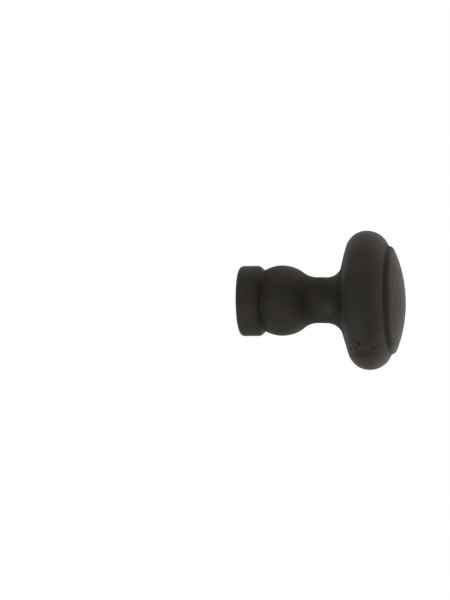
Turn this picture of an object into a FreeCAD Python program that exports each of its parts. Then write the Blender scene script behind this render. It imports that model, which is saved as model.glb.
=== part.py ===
import FreeCAD, Part
import math
import os
import Sketcher

# A cabinet knob, cast in one piece and turned true about its screw.
# The flat back of its foot stands against the door. A ball and a waisted neck carry
# a round-rimmed head, and a low domed button stands on the head's face.
# A blind hole for the door's screw runs up the foot from the back.
# In the body's own frame the back lies at the origin and X runs out along the knob's axis to the face.

# Driving sizes, in millimetres and degrees.
SIZES = [
    ("head_diameter", 31.75, "widest diameter of the head, across the rim"),
    ("stem_diameter", 16.1, "foot ring and ball, turned to one diameter"),
    ("neck_diameter", 10.5, "neck at its waist"),
    ("foot_length", 5.65, "back to the bottom of the groove"),
    ("foot_back_radius", 1.15, "rounding of the foot's back edge"),
    ("foot_front_radius", 1.1, "rounding of the foot's front edge, beside the groove"),
    ("groove_depth", 1.2, "depth of the groove between foot and ball, before its rounding"),
    ("groove_wall_angle", 76.0, "slope of the groove's wall on the foot's side, from the axis"),
    ("groove_radius", 0.2, "rounding in the bottom of the groove"),
    ("throat_radius", 4.8, "hollow from the ball down to the neck"),
    ("neck_length", 2.2, "straight part of the neck between its two hollows"),
    ("underhead_radius", 3.8, "hollow from the neck up to the underside of the head"),
    ("underside_angle", 16.0, "lean of the head's underside, from square to the axis"),
    ("rim_back_radius", 4.75, "rounding of the rim on the door's side"),
    ("rim_front_radius", 5.2, "rounding of the rim on the face's side"),
    ("rim_band", 3.55, "width of the rim outside the button"),
    ("button_height", 3.5, "step at the button's edge to the top of its dome"),
    ("button_edge_radius", 1.3, "rounding of the button's edge"),
    ("step_radius", 0.15, "rounding in the step between rim and button"),
    ("tap_drill_diameter", 3.45, "tapping drill for a number 8 screw, 32 threads to the inch"),
    ("hole_depth", 12.7, "full-width depth of the screw hole from the back"),
    ("drill_point_angle", 118.0, "included angle of the hole's pointed end"),
    ("mouth_diameter", 4.6, "countersink at the mouth of the hole"),
    ("mouth_angle", 90.0, "included angle of that countersink"),
]

doc = FreeCAD.newDocument("cabinet_knob")
sheet = doc.addObject("Spreadsheet::Sheet", "sizes")
size = {}
for row, (name, value, note) in enumerate(SIZES, start=1):
    sheet.set("A%d" % row, name)
    sheet.set("B%d" % row, "%g" % value)
    sheet.set("C%d" % row, note)
    sheet.setAlias("B%d" % row, name)
    size[name] = value
doc.recompute()

# Sketcher's numbers for a point of a curve, and for the sketch's origin and its X axis.
START, END, CENTRE = 1, 2, 3
ORIGIN = (-1, START)
X_AXIS = -1

SAME_PLACE = 1e-5


def point(x, y):
    return FreeCAD.Vector(x, y, 0)


def polar(centre, radius, degrees):
    angle = math.radians(degrees)
    return centre + point(radius * math.cos(angle), radius * math.sin(angle))


def new_sketch(body, name, role):
    """Sketch on one of the body's own origin planes."""
    plane = next(f for f in body.Origin.OriginFeatures if f.Role == role)
    sketch = body.newObject("Sketcher::SketchObject", name)
    sketch.AttachmentSupport = [(plane, "")]
    sketch.MapMode = "FlatFace"
    return sketch


def add_line(sketch, start, end):
    return sketch.addGeometry(Part.LineSegment(start, end), False)


def add_arc(sketch, centre, start, end):
    """Arc about centre, anticlockwise from start to end."""
    first = math.atan2(start.y - centre.y, start.x - centre.x)
    last = math.atan2(end.y - centre.y, end.x - centre.x)
    circle = Part.Circle(centre, FreeCAD.Vector(0, 0, 1), centre.distanceToPoint(start))
    return sketch.addGeometry(Part.ArcOfCircle(circle, first, last), False)


def tie(sketch, kind, *places):
    """Geometric constraint, such as Coincident, Tangent or Horizontal."""
    sketch.addConstraint(Sketcher.Constraint(kind, *places))


def measure(sketch, kind, places, expression, name):
    """Dimension bound to the sheet; its starting value is what the sketch measures now."""
    index = sketch.addConstraint(Sketcher.Constraint(kind, *places, measured(sketch, kind, places)))
    sketch.renameConstraint(index, name)
    sketch.setExpression("Constraints." + name, expression)


def measured(sketch, kind, places):
    """What a dimension reads on the sketch as drawn, in millimetres or radians."""
    curve = sketch.Geometry[places[0]]
    if kind == "Radius":
        return curve.Radius
    if kind == "Diameter":
        return 2 * curve.Radius
    if kind == "Angle":
        run = curve.EndPoint - curve.StartPoint
        return math.atan2(run.y, run.x)
    run = sketch.getPoint(*places[2:]) - sketch.getPoint(*places[:2])
    return run.x if kind == "DistanceX" else run.y


def draw_profile(body):
    """Half section of the knob, from its back to the top of its dome, closed along the axis."""
    sketch = new_sketch(body, "profile", "XY_Plane")

    # Where the curves meet, worked out so that the sketch starts solved.
    stem_r = size["stem_diameter"] / 2
    neck_r = size["neck_diameter"] / 2
    head_r = size["head_diameter"] / 2
    button_r = head_r - size["rim_band"]
    lean = math.radians(size["underside_angle"])
    groove_r = stem_r - size["groove_depth"]
    wall_run = size["groove_depth"] / math.tan(math.radians(size["groove_wall_angle"]))
    groove = point(size["foot_length"], groove_r)
    foot_corner = point(groove.x - wall_run, stem_r)
    ball = point(groove.x + math.sqrt(stem_r ** 2 - groove_r ** 2), 0)
    throat_rise = neck_r + size["throat_radius"]
    throat_span = stem_r + size["throat_radius"]
    throat = ball + point(math.sqrt(throat_span ** 2 - throat_rise ** 2), throat_rise)
    ball_end = ball + (throat - ball) * (stem_r / throat_span)
    neck_start = point(throat.x, neck_r)
    neck_end = neck_start + point(size["neck_length"], 0)
    underhead = neck_end + point(0, size["underhead_radius"])
    underside_start = polar(underhead, size["underhead_radius"], -size["underside_angle"])
    underside_rise = (head_r - size["rim_back_radius"] * (1 - math.sin(lean))) - underside_start.y
    underside_end = underside_start + point(underside_rise * math.tan(lean), underside_rise)
    rim_back = point(underside_end.x + size["rim_back_radius"] * math.cos(lean),
                     head_r - size["rim_back_radius"])
    rim_top = point(rim_back.x, head_r)
    rim_front = point(rim_back.x, head_r - size["rim_front_radius"])
    step_run = math.sqrt(size["rim_front_radius"] ** 2 - (button_r - rim_front.y) ** 2)
    step = point(rim_front.x + step_run, button_r)
    edge = point(step.x, button_r - size["button_edge_radius"])
    apex = point(step.x + size["button_height"], 0)
    crown = size["button_height"] - size["button_edge_radius"]
    dome_r = (size["button_height"] ** 2 + edge.y ** 2 - size["button_edge_radius"] ** 2) / (2 * crown)
    dome = point(apex.x - dome_r, 0)
    dome_start = edge + (edge - dome).normalize() * size["button_edge_radius"]

    back_line = add_line(sketch, point(0, 0), point(0, stem_r))
    foot_line = add_line(sketch, point(0, stem_r), foot_corner)
    groove_line = add_line(sketch, foot_corner, groove)
    ball_arc = add_arc(sketch, ball, ball_end, groove)
    throat_arc = add_arc(sketch, throat, ball_end, neck_start)
    neck_line = add_line(sketch, neck_start, neck_end)
    underhead_arc = add_arc(sketch, underhead, neck_end, underside_start)
    underside_line = add_line(sketch, underside_start, underside_end)
    rim_back_arc = add_arc(sketch, rim_back, rim_top, underside_end)
    rim_front_arc = add_arc(sketch, rim_front, step, rim_top)
    edge_arc = add_arc(sketch, edge, dome_start, step)
    dome_arc = add_arc(sketch, dome, apex, dome_start)
    axis_line = add_line(sketch, apex, point(0, 0))

    # Corners, which stay sharp here and are rounded on the solid.
    tie(sketch, "Coincident", back_line, START, *ORIGIN)
    tie(sketch, "Coincident", back_line, END, foot_line, START)
    tie(sketch, "Coincident", foot_line, END, groove_line, START)
    tie(sketch, "Coincident", groove_line, END, ball_arc, END)
    tie(sketch, "Coincident", rim_front_arc, START, edge_arc, END)
    tie(sketch, "Coincident", dome_arc, START, axis_line, START)
    tie(sketch, "Coincident", axis_line, END, back_line, START)

    # Smooth runs of the turned outline.
    tie(sketch, "Tangent", ball_arc, START, throat_arc, START)
    tie(sketch, "Tangent", throat_arc, END, neck_line, START)
    tie(sketch, "Tangent", neck_line, END, underhead_arc, START)
    tie(sketch, "Tangent", underhead_arc, END, underside_line, START)
    tie(sketch, "Tangent", underside_line, END, rim_back_arc, END)
    tie(sketch, "Tangent", rim_back_arc, START, rim_front_arc, END)
    tie(sketch, "Tangent", edge_arc, START, dome_arc, END)

    # Lines square to the axis or along it, and arcs centred on the axis or plumb with their ends.
    tie(sketch, "Vertical", back_line)
    tie(sketch, "Horizontal", foot_line)
    tie(sketch, "Horizontal", neck_line)
    tie(sketch, "Horizontal", axis_line)
    tie(sketch, "PointOnObject", ball_arc, CENTRE, X_AXIS)
    tie(sketch, "PointOnObject", dome_arc, CENTRE, X_AXIS)
    tie(sketch, "Vertical", rim_back_arc, CENTRE, rim_back_arc, START)
    tie(sketch, "Vertical", edge_arc, CENTRE, edge_arc, END)

    # Dimensions along the axis.
    measure(sketch, "DistanceX", (*ORIGIN, groove_line, END), "sizes.foot_length", "foot_length")
    measure(sketch, "DistanceX", (neck_line, START, neck_line, END), "sizes.neck_length", "neck_length")
    measure(sketch, "DistanceX", (edge_arc, END, dome_arc, START), "sizes.button_height",
            "button_height")

    # Dimensions out from the axis.
    measure(sketch, "DistanceY", (*ORIGIN, foot_line, START), "sizes.stem_diameter / 2", "foot_reach")
    measure(sketch, "DistanceY", (groove_line, END, foot_line, END), "sizes.groove_depth",
            "groove_depth")
    measure(sketch, "DistanceY", (*ORIGIN, neck_line, START), "sizes.neck_diameter / 2", "neck_reach")
    measure(sketch, "DistanceY", (*ORIGIN, rim_back_arc, START), "sizes.head_diameter / 2",
            "head_reach")
    measure(sketch, "DistanceY", (edge_arc, END, rim_front_arc, END), "sizes.rim_band", "rim_band")

    # Radii and slopes.
    measure(sketch, "Radius", (ball_arc,), "sizes.stem_diameter / 2", "ball_radius")
    measure(sketch, "Radius", (throat_arc,), "sizes.throat_radius", "throat_radius")
    measure(sketch, "Radius", (underhead_arc,), "sizes.underhead_radius", "underhead_radius")
    measure(sketch, "Radius", (rim_back_arc,), "sizes.rim_back_radius", "rim_back_radius")
    measure(sketch, "Radius", (rim_front_arc,), "sizes.rim_front_radius", "rim_front_radius")
    measure(sketch, "Radius", (edge_arc,), "sizes.button_edge_radius", "edge_radius")
    measure(sketch, "Angle", (groove_line,), "-sizes.groove_wall_angle * 1 deg", "groove_slope")
    measure(sketch, "Angle", (underside_line,), "(90 - sizes.underside_angle) * 1 deg",
            "underside_slope")

    corners = {
        "foot_back": (foot_line, START),
        "foot_front": (foot_line, END),
        "groove": (groove_line, END),
        "step": (edge_arc, END),
    }
    return sketch, corners


def round_corner(body, base, name, place, radius):
    """Round the ring that one corner of the profile sweeps out."""
    rings = []
    for number, edge in enumerate(base.Shape.Edges, start=1):
        at_corner = all(abs(vertex.X - place.x) < SAME_PLACE for vertex in edge.Vertexes)
        if at_corner and abs(edge.Curve.Radius - place.y) < SAME_PLACE:
            rings.append("Edge%d" % number)
    fillet = body.newObject("PartDesign::Fillet", name)
    fillet.Base = (base, rings)
    fillet.setExpression("Radius", radius)
    doc.recompute()
    return fillet


def drill_screw_hole(body, base):
    """Blind hole up the foot with a pointed end and a countersunk mouth; its thread isn't cut here."""
    sketch = new_sketch(body, "hole_centre", "YZ_Plane")
    drill = Part.Circle(point(0, 0), FreeCAD.Vector(0, 0, 1), size["tap_drill_diameter"] / 2)
    circle = sketch.addGeometry(drill, False)
    tie(sketch, "Coincident", circle, CENTRE, *ORIGIN)
    measure(sketch, "Diameter", (circle,), "sizes.tap_drill_diameter", "drill_diameter")
    doc.recompute()

    hole = body.newObject("PartDesign::Hole", "screw_hole")
    hole.Profile = sketch
    doc.recompute()
    hole.Threaded = False
    hole.ThreadType = "None"
    hole.Reversed = True
    hole.DepthType = "Dimension"
    hole.DrillPoint = "Angled"
    hole.DrillForDepth = False
    hole.HoleCutType = "Countersink"
    hole.setExpression("Diameter", "sizes.tap_drill_diameter")
    hole.setExpression("Depth", "sizes.hole_depth")
    hole.setExpression("DrillPointAngle", "sizes.drill_point_angle")
    hole.setExpression("HoleCutDiameter", "sizes.mouth_diameter")
    hole.setExpression("HoleCutCountersinkAngle", "sizes.mouth_angle")
    doc.recompute()
    if hole.Shape.Volume >= base.Shape.Volume:
        raise RuntimeError("the screw hole removes nothing")
    return hole


def make_knob():
    body = doc.addObject("PartDesign::Body", "Knob")
    body.Label = "knob"
    sketch, corners = draw_profile(body)
    doc.recompute()
    if not sketch.FullyConstrained:
        raise RuntimeError("the profile isn't fully constrained")

    turned = body.newObject("PartDesign::Revolution", "turned_blank")
    turned.Profile = sketch
    turned.ReferenceAxis = (sketch, ["H_Axis"])
    turned.Angle = 360
    doc.recompute()

    feature = turned
    for name, radius in (("foot_back", "sizes.foot_back_radius"),
                         ("foot_front", "sizes.foot_front_radius"),
                         ("groove", "sizes.groove_radius"),
                         ("step", "sizes.step_radius")):
        feature = round_corner(body, feature, name + "_rounding", sketch.getPoint(*corners[name]), radius)
    hole = drill_screw_hole(body, feature)

    # On the door the knob's axis is level and its face looks along -Y.
    body.Placement = FreeCAD.Placement(point(0, 0), FreeCAD.Rotation(FreeCAD.Vector(0, 0, 1), -90))
    doc.recompute()
    return body, hole


knob, screw_hole = make_knob()

for thing in doc.Objects:
    if "Invalid" in thing.State or "Error" in thing.State:
        raise RuntimeError("%s failed: %s" % (thing.Label, thing.State))
if knob.Shape.isNull() or not knob.Shape.isValid() or len(knob.Shape.Solids) != 1:
    raise RuntimeError("the knob isn't one valid solid")

os.makedirs("parts", exist_ok=True)
knob.Shape.exportStep("parts/%s.step" % knob.Label)

box = knob.Shape.optimalBoundingBox()
wall_r = size["tap_drill_diameter"] / 2
walls = [face for face in screw_hole.Shape.Faces
         if isinstance(face.Surface, Part.Cylinder) and abs(face.Surface.Radius - wall_r) < SAME_PLACE]
print("knob: %.3f x %.3f x %.3f mm, volume %.4f cm3, %d faces"
      % (box.XLength, box.YLength, box.ZLength, knob.Shape.Volume / 1000, len(knob.Shape.Faces)))
for face in walls:
    print("screw hole wall: from %.3f to %.3f mm above the back" % (face.BoundBox.XMin, face.BoundBox.XMax))
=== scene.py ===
import math

import bmesh
import bpy
from mathutils import Matrix, Vector


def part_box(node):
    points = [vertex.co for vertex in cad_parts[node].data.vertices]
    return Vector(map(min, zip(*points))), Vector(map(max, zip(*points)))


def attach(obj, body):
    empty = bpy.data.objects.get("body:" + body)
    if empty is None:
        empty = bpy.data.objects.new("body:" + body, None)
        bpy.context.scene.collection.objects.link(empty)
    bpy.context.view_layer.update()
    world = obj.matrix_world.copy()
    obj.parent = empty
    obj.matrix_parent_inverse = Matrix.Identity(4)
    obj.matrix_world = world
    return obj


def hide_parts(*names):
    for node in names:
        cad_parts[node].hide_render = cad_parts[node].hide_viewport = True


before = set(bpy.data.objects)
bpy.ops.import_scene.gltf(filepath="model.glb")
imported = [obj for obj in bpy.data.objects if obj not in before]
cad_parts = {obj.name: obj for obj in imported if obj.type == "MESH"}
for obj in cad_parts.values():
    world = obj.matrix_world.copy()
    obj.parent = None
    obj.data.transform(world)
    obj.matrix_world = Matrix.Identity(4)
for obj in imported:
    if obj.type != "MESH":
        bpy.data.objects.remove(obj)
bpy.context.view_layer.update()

# The knob.
# One iron casting, turned true about its screw, drilled and tapped from the back, then blackened
# and waxed. It is drawn as half a section, spun round its axis, and then given what the turning
# left: a head a little out of true, lumps of the cast skin and a few gas holes.

MM = 0.001
RING_STEP = 0.3 * MM
ARC_STEPS = 6
SEGMENTS = 256
TOUCHING = MM / 1000

# Sizes as the knob was turned, in metres and degrees. Along runs from the back towards the face, and
# out from the axis. The outside follows the solid, but the foot's corner, the groove and the step
# are rounder than there, as the real outline shows them.
node_low, node_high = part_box("knob")
projection = node_high.y - node_low.y
head_r = (node_high.x - node_low.x) / 2
stem_r = 8.05 * MM
neck_r = 5.25 * MM
foot_length = 5.65 * MM
foot_back_r = 1.15 * MM
foot_front_r = 1.5 * MM
groove_depth = 1.2 * MM
groove_wall = 76.0
groove_round = 0.4 * MM
throat_r = 4.8 * MM
neck_length = 2.2 * MM
underhead_r = 3.8 * MM
underside_lean = 16.0
rim_back_r = 4.75 * MM
rim_front_r = 5.2 * MM
rim_band = 3.55 * MM
edge_r = 1.3 * MM
step_round = 0.35 * MM
drill_r = 1.725 * MM
hole_depth = 12.7 * MM
drill_half_angle = 59.0
mouth_r = 2.3 * MM


def section(along, out):
    """A point of the half section, which is drawn in the plane X = 0 above the axis."""
    return Vector((0, -along, out))


def deselect_all():
    """Leave edit mode with nothing selected, as every new piece needs to start."""
    if bpy.context.object and bpy.context.object.mode != "OBJECT":
        bpy.ops.object.mode_set(mode="OBJECT")
    bpy.ops.object.select_all(action="DESELECT")


def start_section(name, place):
    """A new mesh of one selected point, left in edit mode."""
    deselect_all()
    bpy.ops.mesh.primitive_plane_add(size=MM, location=place)
    bpy.context.object.name = name
    bpy.ops.object.transform_apply(location=True, rotation=False, scale=False)
    bpy.ops.object.mode_set(mode="EDIT")
    bpy.ops.mesh.merge(type="CENTER")
    bpy.context.tool_settings.mesh_select_mode = (True, False, False)
    return place.copy()


def run_to(pen, place):
    """Extrude the selected point along a straight run, ring by ring."""
    steps = max(1, round((place - pen).length / RING_STEP))
    for _ in range(steps):
        bpy.ops.mesh.extrude_region_move(TRANSFORM_OT_translate={"value": (place - pen) / steps})
    return place.copy()


def swing(pen, centre, degrees):
    """Extrude the selected point along an arc; positive degrees turn from the face towards the rim."""
    turn = math.radians(degrees)
    reach = pen - centre
    steps = max(ARC_STEPS, round(abs(turn) * reach.length / RING_STEP))
    bpy.ops.mesh.spin(steps=steps, angle=turn, center=centre, axis=(1, 0, 0))
    return centre + Matrix.Rotation(turn, 3, (-1, 0, 0)) @ reach


def bearing(place, centre):
    """Direction of a point from a centre, in degrees from the face towards the rim."""
    away = place - centre
    return math.degrees(math.atan2(away.z, -away.y))


# The half section, from the bottom of the hole out along the back, the foot, the ball, the neck,
# the head and the rim to the top of the dome.
drill_tip = section(hole_depth + drill_r / math.tan(math.radians(drill_half_angle)), 0)
groove = section(foot_length, stem_r - groove_depth)
wall_slope = math.radians(groove_wall)
corner_run = foot_front_r * math.tan(wall_slope / 2)
foot_corner = foot_length - groove_depth / math.tan(wall_slope)
ball = section(foot_length + math.sqrt(stem_r ** 2 - groove.z ** 2), 0)
throat_rise = neck_r + throat_r
throat_run = math.sqrt((stem_r + throat_r) ** 2 - throat_rise ** 2)
throat = ball + section(throat_run, throat_rise)
neck_end = section(-throat.y + neck_length, neck_r)
underhead = neck_end + section(0, underhead_r)
lean = math.radians(underside_lean)
underside_start = underhead + underhead_r * section(math.cos(lean), -math.sin(lean))
rim_centre_out = head_r - rim_back_r
underside_rise = rim_centre_out + rim_back_r * math.sin(lean) - underside_start.z
underside_end = underside_start + section(underside_rise * math.tan(lean), underside_rise)
rim_back = section(-underside_end.y + rim_back_r * math.cos(lean), rim_centre_out)
rim_front = section(-rim_back.y, head_r - rim_front_r)
button_r = head_r - rim_band
step_along = -rim_back.y + math.sqrt(rim_front_r ** 2 - (button_r - rim_front.z) ** 2)
step = section(step_along, button_r)
edge_centre = section(step_along, button_r - edge_r)
button_height = projection - step_along
dome_r = (button_height ** 2 + edge_centre.z ** 2 - edge_r ** 2) / (2 * (button_height - edge_r))
dome = section(projection - dome_r, 0)

# The rounding in the groove touches the foot's wall on one side and the ball on the other.
down_wall = section(math.cos(wall_slope), -math.sin(wall_slope))
off_wall = section(math.sin(wall_slope), math.cos(wall_slope))
from_ball = groove + groove_round * off_wall - ball
sunk = from_ball.dot(down_wall)
rise = sunk + math.sqrt(sunk ** 2 - from_ball.length_squared + (stem_r + groove_round) ** 2)
groove_middle = groove + groove_round * off_wall - rise * down_wall
wall_end = groove_middle - groove_round * off_wall

pen = start_section("turned_knob", drill_tip)
pen = run_to(pen, section(hole_depth, drill_r))
pen = run_to(pen, section(mouth_r - drill_r, drill_r))
pen = run_to(pen, section(0, mouth_r))
pen = run_to(pen, section(0, stem_r - foot_back_r))
pen = swing(pen, section(foot_back_r, stem_r - foot_back_r), -90)
pen = run_to(pen, section(foot_corner - corner_run, stem_r))
pen = swing(pen, section(foot_corner - corner_run, stem_r - foot_front_r), -groove_wall)
pen = run_to(pen, wall_end)
pen = swing(pen, groove_middle, bearing(ball, groove_middle) - bearing(wall_end, groove_middle))
pen = swing(pen, ball, bearing(throat, ball) - bearing(groove_middle, ball))
pen = swing(pen, throat, 90 - bearing(throat, ball))
pen = run_to(pen, neck_end)
pen = swing(pen, underhead, 90 - underside_lean)
pen = run_to(pen, underside_end)
pen = swing(pen, rim_back, underside_lean - 90)
pen = swing(pen, rim_front, bearing(step, rim_front) - 90)
pen = swing(pen, edge_centre, bearing(edge_centre, dome) - 90)
pen = swing(pen, dome, -bearing(edge_centre, dome))

bpy.ops.mesh.select_all(action="SELECT")
bpy.ops.mesh.spin(steps=SEGMENTS, angle=math.tau, center=(0, 0, 0), axis=(0, 1, 0))
bpy.ops.mesh.select_all(action="SELECT")
bpy.ops.mesh.remove_doubles(threshold=TOUCHING)
bpy.ops.mesh.normals_make_consistent(inside=False)
knob = bpy.context.object

# The crease round the button is one ring of the spun mesh, and is rounded with a bevel, which
# reaches as far as the turn of the outline asks for.
ON_RING = MM / 100
STEP_SEGMENTS = 4


def select_where(piece, kind, wanted):
    """Select, in edit mode, the edges or faces whose corners all lie where they are wanted."""
    mesh = bmesh.from_edit_mesh(piece.data)
    bpy.ops.mesh.select_all(action="DESELECT")
    for part in getattr(mesh, kind):
        part.select = all(wanted(corner.co) for corner in part.verts)
    mesh.select_flush_mode()
    bmesh.update_edit_mesh(piece.data)


def on_step(co):
    return abs(co.y - step.y) < ON_RING and abs(math.hypot(co.x, co.z) - step.z) < ON_RING


bpy.context.tool_settings.mesh_select_mode = (False, True, False)
select_where(knob, "edges", on_step)
step_turn = math.radians(90 - bearing(step, rim_front))
bpy.ops.mesh.bevel(offset_type="OFFSET", offset=step_round * math.tan(step_turn / 2),
                   segments=STEP_SEGMENTS, affect="EDGES")
deselect_all()

# The button on the face was finished by eye, so it is out of round: wider from side to side than it
# is high, and a little larger below. The step moves out along the rim's own curve, and the whole
# button with it.
BUTTON_WIDE = 13.1 * MM
BUTTON_LOW = 12.45 * MM
FACE_FROM = -rim_front.y + rim_front_r / 2


def rim_front_along(out):
    """How far along the axis the rim's front curve is, at a distance out from the axis."""
    return -rim_front.y + math.sqrt(rim_front_r ** 2 - (out - rim_front.z) ** 2)


for vertex in knob.data.vertices:
    out = math.hypot(vertex.co.x, vertex.co.z)
    if -vertex.co.y < FACE_FROM or out < TOUCHING:
        continue
    across, up = vertex.co.x / out, vertex.co.z / out
    wanted = 1 / math.hypot(across / BUTTON_WIDE, up / (BUTTON_LOW if up < 0 else button_r))
    if out > button_r:
        moved = head_r - (head_r - out) * (head_r - wanted) / (head_r - button_r)
        vertex.co.y += rim_front_along(min(out, head_r)) - rim_front_along(min(moved, head_r))
    else:
        moved = out * wanted / button_r
        vertex.co.y += (rim_front_along(button_r) - rim_front_along(wanted)) * (out / button_r) ** 2
    vertex.co.x, vertex.co.z = moved * across, moved * up

# The head runs out: it sits a little low on the stem, and its top leans back towards the door.
RUNOUT = math.tan(math.radians(0.67))
HEAD_DROP = 0.23 * MM
TRUE_TO, OUT_FROM = 17 * MM, 26 * MM

for vertex in knob.data.vertices:
    share = min(1, max(0, (-vertex.co.y - TRUE_TO) / (OUT_FROM - TRUE_TO)))
    share = share * share * (3 - 2 * share)
    vertex.co.y += RUNOUT * vertex.co.z * share
    vertex.co.z -= HEAD_DROP * share

# Cast skin: slow swells and smaller lumps, left by the mould and softened by tumbling. The button has
# been rubbed flatter. The back and the hole are cut clean, so they keep their shape.
CAST_LUMPS = (
    ("swell", 7.0 * MM, 0.10 * MM),
    ("lump", 1.8 * MM, 0.035 * MM),
)
RUBBED_SHARE = 0.4
CLEAN_BACK = 0.2 * MM
BUTTON_FROM = step_along + 0.3 * MM


def is_cast_skin(co):
    return co.y < -CLEAN_BACK and math.hypot(co.x, co.z) > stem_r / 2 or co.y < -projection / 2


def is_button(co):
    return -co.y > BUTTON_FROM and math.hypot(co.x, co.z) < BUTTON_WIDE


cast_skin = knob.vertex_groups.new(name="cast_skin")
for is_there, share in ((is_cast_skin, 1.0), (is_button, RUBBED_SHARE)):
    found = [vertex.index for vertex in knob.data.vertices if is_there(vertex.co)]
    cast_skin.add(found, share, "REPLACE")
knob.select_set(True)
bpy.context.view_layer.objects.active = knob
for name, width, height in CAST_LUMPS:
    texture = bpy.data.textures.new(name, "CLOUDS")
    texture.noise_scale = width
    texture.noise_depth = 1
    lumps = knob.modifiers.new(name, "DISPLACE")
    lumps.texture = texture
    lumps.texture_coords = "LOCAL"
    lumps.direction = "NORMAL"
    lumps.mid_level = 0.5
    lumps.strength = height
    lumps.vertex_group = cast_skin.name
    bpy.ops.object.modifier_apply(modifier=name)

# Gas holes and sand marks low on the rim, where the mould's gas was trapped, and places painted
# darker as painted shade or lighter as painted light. Each is given by its distance along the axis,
# its clock angle from +X towards +Z, its half width along the axis and round it, its depth, and how
# much painted shade it carries. Where the depth is negative it is a lump, and where the painted shade
# is negative it is painted light. The holes, the sinks, the flanks and the low front carry painted
# shade; the marks on the neck, ball, flare, back and button are painted highlights; the high mark on
# the head, the lighter grains and the ridge are simply made lighter. Lengths are in millimetres.
CAST_MARKS = (
    ("gas_hole", 28.45, -140.7, 0.5, 0.42, 0.36, 0.8),
    ("gas_hole_tail", 29.1, -140.5, 0.7, 0.4, 0.06, 0.5),
    ("sand_hole", 28.05, -136.0, 0.45, 0.35, 0.12, 0.4),
    ("edge_hole", 26.4, -131.6, 0.6, 1.0, 0.12, 0.4),
    ("sink", 31.6, -135.9, 1.2, 0.9, 0.08, 0.5),
    ("low_sink", 30.0, -129.5, 3.0, 1.9, 0.05, 0.45),
    ("ridge", 27.3, -136.8, 0.5, 1.1, -0.09, -0.2),
    ("low_ridge", 27.4, -131.3, 0.6, 0.7, -0.05, 0.0),
    ("grain_lump", 28.9, -135.3, 0.5, 0.5, -0.04, 0.0),
    ("bright_grain", 29.3, 174.4, 0.45, 0.45, -0.03, -0.3),
    ("neck_painted_highlight", 20.1, -157.0, 3.0, 2.6, 0.0, -0.32),
    ("back_painted_highlight", 25.6, -144.0, 1.4, 4.0, 0.0, -0.6),
    ("far_hole", 27.6, 34.0, 0.3, 0.3, 0.2, 0.7),
    ("back_sink", 30.4, 71.0, 0.9, 0.7, 0.05, 0.4),
    ("near_flank", 25.7, 180.0, 2.0, 9.0, 0.0, 0.35),
    ("low_front", 33.6, -124.0, 2.2, 5.0, 0.0, 0.2),
    ("high_paler", 28.4, 148.0, 3.0, 4.0, 0.0, -0.3),
    ("ball_painted_highlight", 7.3, -124.0, 1.2, 3.5, 0.0, -0.5),
    ("flare_painted_highlight", 24.3, -147.0, 1.6, 2.5, 0.0, -0.7),
    ("low_flank", 25.5, -152.0, 1.2, 2.5, 0.0, 0.4),
    ("button_painted_light", 35.3, -106.0, 1.2, 4.0, 0.0, -0.5),
    ("front_grain", 33.5, 45.4, 0.4, 0.5, -0.04, -0.6),
    ("side_grain", 32.35, 36.0, 0.4, 0.4, -0.04, -0.6),
)
SHALLOW = 0.055 * MM
MARK_FALL = 1.5
MARK_MARGIN = 1.6
MARK_CUTS = 3


def skin_spot(piece, along, clock):
    """The point and normal of the skin straight out from a place on the axis, found from outside."""
    turn = math.radians(clock)
    outwards = Vector((math.cos(turn), 0, math.sin(turn)))
    _, point, normal, _ = piece.ray_cast(Vector((0, -along, 0)) + 2 * head_r * outwards, -outwards)
    return point, normal


spots = []
for _, along, clock, half_along, half_round, depth, painted_shade in CAST_MARKS:
    point, normal = skin_spot(knob, along * MM, clock)
    round_it = Vector((0, 1, 0)).cross(normal).normalized()
    up_it = normal.cross(round_it) / (half_along * MM)
    round_it /= half_round * MM
    spots.append((point, normal, up_it, round_it, depth * MM, painted_shade))


def marks_at(place):
    """The marks that a place on the skin lies in, each with how near it is to the mark's middle."""
    for point, normal, up_it, round_it, depth, painted_shade in spots:
        away = place - point
        near = 1 - up_it.dot(away) ** 2 - round_it.dot(away) ** 2
        if near > 0 and abs(normal.dot(away)) < MM:
            yield near ** MARK_FALL, normal, depth, painted_shade


def near_deep_mark(co):
    """Whether a place lies in or round a mark that is deep enough to need finer faces."""
    return any(abs(depth) > SHALLOW
               and (co - point).length < MARK_MARGIN / min(up_it.length, round_it.length)
               for point, _, up_it, round_it, depth, _ in spots)


bpy.ops.object.mode_set(mode="EDIT")
bpy.context.tool_settings.mesh_select_mode = (False, False, True)
select_where(knob, "faces", near_deep_mark)
bpy.ops.mesh.subdivide(number_cuts=MARK_CUTS, quadcorner="INNERVERT")
deselect_all()
for vertex in knob.data.vertices:
    for share, normal, depth, _ in list(marks_at(vertex.co)):
        vertex.co -= depth * share * normal
knob.select_set(True)
bpy.context.view_layer.objects.active = knob

# The thread: a tap's cutting edge, swept up the hole as a right-hand screw and cut out of the wall.
# Number 8, 32 threads to the inch, so 0.794 mm from thread to thread and 4.17 mm across.
thread_pitch = 25.4 / 32 * MM
thread_r = 4.166 / 2 * MM
thread_root = thread_pitch / 8
thread_end = 11.4 * MM
thread_half_angle = 30.0
tap_inside_r = 1.6 * MM
TAP_STEPS = 36

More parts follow.
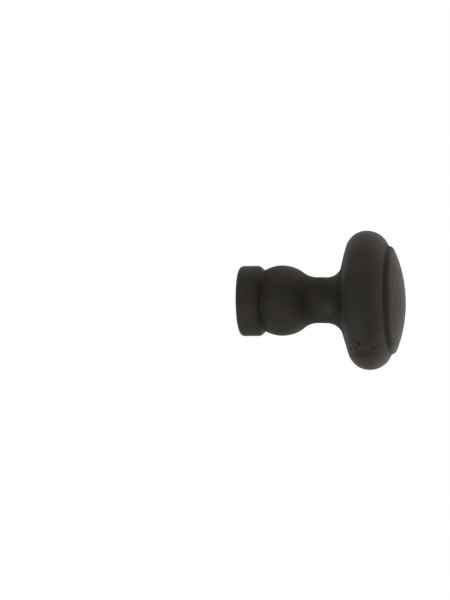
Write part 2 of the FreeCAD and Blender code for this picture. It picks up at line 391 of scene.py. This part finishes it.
flank = (thread_r - tap_inside_r) * math.tan(math.radians(thread_half_angle))
turns = math.ceil(thread_end / thread_pitch) + 1
deselect_all()
bpy.ops.mesh.primitive_plane_add(size=1, location=(0, 0, 0), rotation=(0, math.pi / 2, 0))
tap = bpy.context.object
tap.name = "tap"
bpy.ops.object.transform_apply(location=True, rotation=True, scale=False)
corners = sorted(tap.data.vertices, key=lambda vertex: (vertex.co.z, vertex.co.y))
half_root = thread_root / 2
tooth = ((-half_root - flank, tap_inside_r), (half_root + flank, tap_inside_r),
         (-half_root, thread_r), (half_root, thread_r))
for corner, (y, z) in zip(corners, tooth):
    corner.co = (0, y - thread_end, z)
sweep = tap.modifiers.new("sweep", "SCREW")
sweep.axis = "Y"
sweep.screw_offset = thread_pitch
sweep.iterations = turns
sweep.steps = sweep.render_steps = TAP_STEPS
sweep.use_merge_vertices = True
sweep.merge_threshold = TOUCHING
bpy.ops.object.modifier_apply(modifier="sweep")
bpy.ops.object.mode_set(mode="EDIT")
bpy.ops.mesh.select_all(action="SELECT")
bpy.ops.mesh.fill_holes(sides=4)
bpy.ops.mesh.select_all(action="SELECT")
bpy.ops.mesh.normals_make_consistent(inside=False)
deselect_all()
knob.select_set(True)
bpy.context.view_layer.objects.active = knob
tapping = knob.modifiers.new("tapping", "BOOLEAN")
tapping.operation = "DIFFERENCE"
tapping.solver = "EXACT"
tapping.object = tap
bpy.ops.object.modifier_apply(modifier="tapping")
bpy.data.objects.remove(tap)

# Faces that turn less than this from one to the next are shaded as one skin.
CREASE_ANGLE = 40.0
bpy.ops.object.shade_smooth_by_angle(angle=math.radians(CREASE_ANGLE))


def linear(code):
    """An sRGB hex colour as the linear values that the shaders take."""
    values = [int(code[place:place + 2], 16) / 255 for place in (1, 3, 5)]
    return tuple(v / 12.92 if v <= 0.04045 else ((v + 0.055) / 1.055) ** 2.4 for v in values) + (1.0,)


def add_node(tree, kind, settings=None, **inputs):
    """Add a node with its settings and, for each socket, a value or a link from another node."""
    node = tree.nodes.new(kind)
    for name, value in (settings or {}).items():
        setattr(node, name, value)
    for name, value in inputs.items():
        by_number = name[0] == "i" and name[1:].isdigit()
        socket = node.inputs[int(name[1:]) if by_number else name.replace("_", " ")]
        if isinstance(value, bpy.types.NodeSocket):
            tree.links.new(value, socket)
        else:
            socket.default_value = value
    return node


# Painted shade: the hollows and creases are painted darker where shade falls, and the wax there is
# drawn dull; the groove's wall is painted lighter, as painted light. Each ring is given by its place
# along the axis and out from it, how far it reaches and how much painted shade it carries, negative
# for painted light, and the mesh carries the sum.
underside = (underside_start + underside_end) / 2
PAINTED_SHADE_RINGS = (
    ("foot_edge", foot_length - 0.4 * MM, stem_r - 0.3 * MM, 0.5 * MM, 0.2),
    ("groove_wall", -wall_end.y, wall_end.z, 0.32 * MM, -0.5),
    ("groove_side", foot_length + 0.65 * MM, stem_r - 0.85 * MM, 1.0 * MM, 0.2),
    ("ball_foot", foot_length + 1.4 * MM, stem_r - 0.3 * MM, 3.0 * MM, 0.3),
    ("throat", -throat.y - 0.4 * MM, neck_r + 0.3 * MM, 3.2 * MM, 0.28),
    ("neck_end", -neck_end.y + 3.0 * MM, neck_r + 2.2 * MM, 2.4 * MM, 0.45),
    ("under_head", -underside.y, underside.z, 2.6 * MM, 0.9),
    ("step", step_along + 0.3 * MM, button_r, 0.9 * MM, 0.45),
)

# Painted shade and painted light, summed from the rings and the marks, for each point of the mesh.
painted_shade_and_light = knob.data.attributes.new("painted_shade_and_light", "FLOAT", "POINT")
for vertex, carried in zip(knob.data.vertices, painted_shade_and_light.data):
    along, out = -vertex.co.y, math.hypot(vertex.co.x, vertex.co.z)
    carried.value = sum(painted_shade * math.exp(-((along - at) ** 2 + (out - far) ** 2) / reach ** 2)
                        for _, at, far, reach, painted_shade in PAINTED_SHADE_RINGS)
    carried.value += sum(painted_shade * share for share, _, _, painted_shade in marks_at(vertex.co))

# Blackened cast iron: grey iron, oxidised black in hot oil and waxed. The eye sees a near-black with
# a faint cloud of brown and of green-grey, a low waxy sheen that goes dull in the hollows where the
# painted shade lies, and a skin as fine as an orange's where the sand was. The blacking clouds over
# 9 mm, and the wax was wiped on in smears of about 2 mm. The sand's real grain, a quarter of a
# millimetre, is too fine to show, so it is drawn nearly twice as coarse. On top, the colour carries
# the painted shade and painted light of the mesh.
CLOUD_WIDTH = 9 * MM
CLOUD_PLACE = (36 * MM, 16 * MM, 22 * MM)
CLOUD_TINTS = ((0.40, "#272623"), (0.52, "#2B2824"), (0.64, "#312B26"))
# How much lighter painted light and how much darker painted shade make the colour, at their fullest.
PAINTED_LIGHT_MOST, PAINTED_SHADE_MOST = 1.75, 0.25
WAX_WIDTH = 2.2 * MM
WAXED, BARE, DULL = 0.52, 0.62, 0.9
SAND_GRAIN = 0.45 * MM
SAND_HEIGHT = 0.05 * MM
SHEEN = "#FFF8F2"

iron = bpy.data.materials.new("blackened_cast_iron")
iron.use_nodes = True
tree = iron.node_tree
tree.nodes.clear()
place = add_node(tree, "ShaderNodeTexCoord").outputs["Object"]
shifted = add_node(tree, "ShaderNodeMapping", Vector=place, Location=CLOUD_PLACE)
cloud = add_node(tree, "ShaderNodeTexNoise", Vector=shifted.outputs["Vector"], Scale=1 / CLOUD_WIDTH,
                 Detail=3.0, Roughness=0.55)
tint = add_node(tree, "ShaderNodeValToRGB", Fac=cloud.outputs["Fac"])
tint.color_ramp.elements.new(0.5)
for stop, (at, colour) in zip(tint.color_ramp.elements, CLOUD_TINTS):
    stop.position = at
    stop.color = linear(colour)
# The colour is painted darker by the painted shade and lighter by the painted light that the mesh
# carries.
painted_shade_fac = add_node(tree, "ShaderNodeAttribute", {"attribute_name": "painted_shade_and_light"}).outputs["Fac"]
shade = add_node(tree, "ShaderNodeMapRange", Value=painted_shade_fac, From_Min=-1.0, From_Max=1.0,
                 To_Min=PAINTED_LIGHT_MOST, To_Max=PAINTED_SHADE_MOST)
shaded_colour = add_node(tree, "ShaderNodeHueSaturation", Color=tint.outputs["Color"],
                   Value=shade.outputs["Result"])
wax = add_node(tree, "ShaderNodeTexNoise", Vector=place, Scale=1 / WAX_WIDTH, Detail=4.0,
               Roughness=0.6)
gloss = add_node(tree, "ShaderNodeMapRange", Value=wax.outputs["Fac"], From_Min=0.3, From_Max=0.7,
                 To_Min=WAXED, To_Max=BARE)
dulled = add_node(tree, "ShaderNodeMapRange", Value=painted_shade_fac, From_Min=0.0, From_Max=1.0,
                  To_Min=gloss.outputs["Result"], To_Max=DULL)
sand = add_node(tree, "ShaderNodeTexNoise", Vector=place, Scale=1 / SAND_GRAIN, Detail=3.0,
                Roughness=0.6)
grain = add_node(tree, "ShaderNodeBump", Height=sand.outputs["Fac"], Strength=0.25,
                 Distance=SAND_HEIGHT)
surface = add_node(tree, "ShaderNodeBsdfPrincipled", Base_Color=shaded_colour.outputs["Color"],
                   Roughness=dulled.outputs["Result"], Specular_IOR_Level=0.1,
                   Specular_Tint=linear(SHEEN), Normal=grain.outputs["Normal"])
add_node(tree, "ShaderNodeOutputMaterial", Surface=surface.outputs["BSDF"])
knob.data.materials.clear()
knob.data.materials.append(iron)

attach(knob, "root")
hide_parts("knob")

# The studio.
# A pale round table under the knob, too low for the photograph's view, and a white room round it.
FLOOR_DROP = 200 * MM
FLOOR_RADIUS = 350 * MM
FLOOR_SIDES = 96
FADE_FROM = 0.45 * FLOOR_RADIUS

deselect_all()
bpy.ops.mesh.primitive_circle_add(vertices=FLOOR_SIDES, radius=FLOOR_RADIUS, fill_type="NGON",
                                  location=(0, -projection / 2, -FLOOR_DROP))
floor = bpy.context.object
floor.name = "floor"
bpy.ops.object.transform_apply(location=True, rotation=False, scale=False)
paper = bpy.data.materials.new("white_paper")
paper.use_nodes = True
tree = paper.node_tree
tree.nodes.clear()
place = add_node(tree, "ShaderNodeTexCoord").outputs["Object"]
centred = add_node(tree, "ShaderNodeVectorMath", {"operation": "ADD"}, i0=place,
                   i1=(0, projection / 2, FLOOR_DROP))
from_middle = add_node(tree, "ShaderNodeVectorMath", {"operation": "LENGTH"},
                       i0=centred.outputs["Vector"])
fade = add_node(tree, "ShaderNodeMapRange", {"interpolation_type": "SMOOTHSTEP"},
                Value=from_middle.outputs["Value"], From_Min=FADE_FROM, From_Max=FLOOR_RADIUS,
                To_Min=0.0, To_Max=1.0)
seen = add_node(tree, "ShaderNodeLightPath").outputs["Is Camera Ray"]
glow = add_node(tree, "ShaderNodeMath", {"operation": "MULTIPLY"}, i0=fade.outputs["Result"],
                i1=seen)
matt = add_node(tree, "ShaderNodeBsdfDiffuse", Color=linear("#EDECEA"))
white = add_node(tree, "ShaderNodeEmission", Color=linear("#FFFFFF"), Strength=1.0)
mixed = add_node(tree, "ShaderNodeMixShader", i0=glow.outputs["Value"], i1=matt.outputs["BSDF"],
                 i2=white.outputs["Emission"])
add_node(tree, "ShaderNodeOutputMaterial", Surface=mixed.outputs["Shader"])
floor.data.materials.append(paper)

# The room: white where the camera or a reflection looks, softer where it only lights.
ROOM_LIGHT = 0.56

world = bpy.data.worlds.new("white_room")
bpy.context.scene.world = world
world.use_nodes = True
tree = world.node_tree
tree.nodes.clear()
path = add_node(tree, "ShaderNodeLightPath")
straight = add_node(tree, "ShaderNodeMath", {"operation": "MAXIMUM"},
                    i0=path.outputs["Is Camera Ray"], i1=path.outputs["Is Transmission Ray"])
seen = add_node(tree, "ShaderNodeMath", {"operation": "MAXIMUM"}, i0=straight.outputs["Value"],
                i1=path.outputs["Is Glossy Ray"])
level = add_node(tree, "ShaderNodeMapRange", Value=seen.outputs["Value"], From_Min=0.0, From_Max=1.0,
                 To_Min=ROOM_LIGHT, To_Max=1.0)
room = add_node(tree, "ShaderNodeBackground", Color=linear("#FFFFFF"),
                Strength=level.outputs["Result"])
add_node(tree, "ShaderNodeOutputWorld", Surface=room.outputs["Background"])

# Lamps: round soft boxes, each given by where it stands from the knob, in degrees round and up, how
# far off and how wide it is, how bright, and its colour. Round is counted from +X towards +Y, so 270
# is straight before the face. Those before and above are a little warm, and the two under the knob
# give the cooler glow of a lit table.
KNOB_MIDDLE = Vector((0, -19 * MM, 0))
SOFT_BOXES = (
    ("face", 270, -5, 600 * MM, 600 * MM, 1.46, "#FFF5EF"),
    ("far_side", 350, -5, 600 * MM, 750 * MM, 0.73, "#FFFBF8"),
    ("far_back", 50, 5, 600 * MM, 600 * MM, 0.35, "#FFFFFF"),
    ("above", 0, 75, 600 * MM, 700 * MM, 0.67, "#FFF7EE"),
    ("front_above", 300, 45, 600 * MM, 500 * MM, 0.59, "#FFF7EE"),
    ("under_left", 140, -40, 220 * MM, 150 * MM, 0.21, "#F4FFFA"),
    ("under_far", 320, -38, 220 * MM, 150 * MM, 0.085, "#F4FFFA"),
)
for name, round_from, up_from, distance, width, watts, colour in SOFT_BOXES:
    light = bpy.data.lights.new(name, "AREA")
    light.shape = "DISK"
    light.size = width
    light.energy = watts
    light.color = linear(colour)[:3]
    lamp = bpy.data.objects.new(name, light)
    lamp.visible_camera = False
    bpy.context.collection.objects.link(lamp)
    round_from, up_from = math.radians(round_from), math.radians(up_from)
    flat = math.cos(up_from)
    away = Vector((math.cos(round_from) * flat, math.sin(round_from) * flat, math.sin(up_from)))
    lamp.location = KNOB_MIDDLE + distance * away
    lamp.rotation_euler = away.to_track_quat("Z", "Y").to_euler()

# The camera: level with the knob, on its left-hand side and a little round towards the face. It is
# aimed at the knob, leant a little to the right, and then turned left, so the knob stands right of
# the middle.
CAMERA_DISTANCE = 700 * MM
TOWARDS_FACE = 6.87
LEANS_RIGHT = 0.876
LOOKS_LEFT = 1.818
LENS_MM = 183.85
SENSOR_MM = 36

camera_data = bpy.data.cameras.new("camera")
camera_data.lens = LENS_MM
camera_data.sensor_width = SENSOR_MM
camera = bpy.data.objects.new("camera", camera_data)
bpy.context.collection.objects.link(camera)
bearing_to_knob = math.radians(TOWARDS_FACE)
towards_knob = Vector((math.cos(bearing_to_knob), math.sin(bearing_to_knob), 0))
camera.location = KNOB_MIDDLE - CAMERA_DISTANCE * towards_knob
aim = (Matrix.Rotation(bearing_to_knob - math.pi / 2, 3, "Z")
       @ Matrix.Rotation(math.pi / 2, 3, "X")
       @ Matrix.Rotation(-math.radians(LEANS_RIGHT), 3, "Z")
       @ Matrix.Rotation(math.radians(LOOKS_LEFT), 3, "Y"))
camera.rotation_euler = aim.to_euler()
bpy.context.scene.camera = camera
bpy.context.scene.view_settings.view_transform = "Standard"
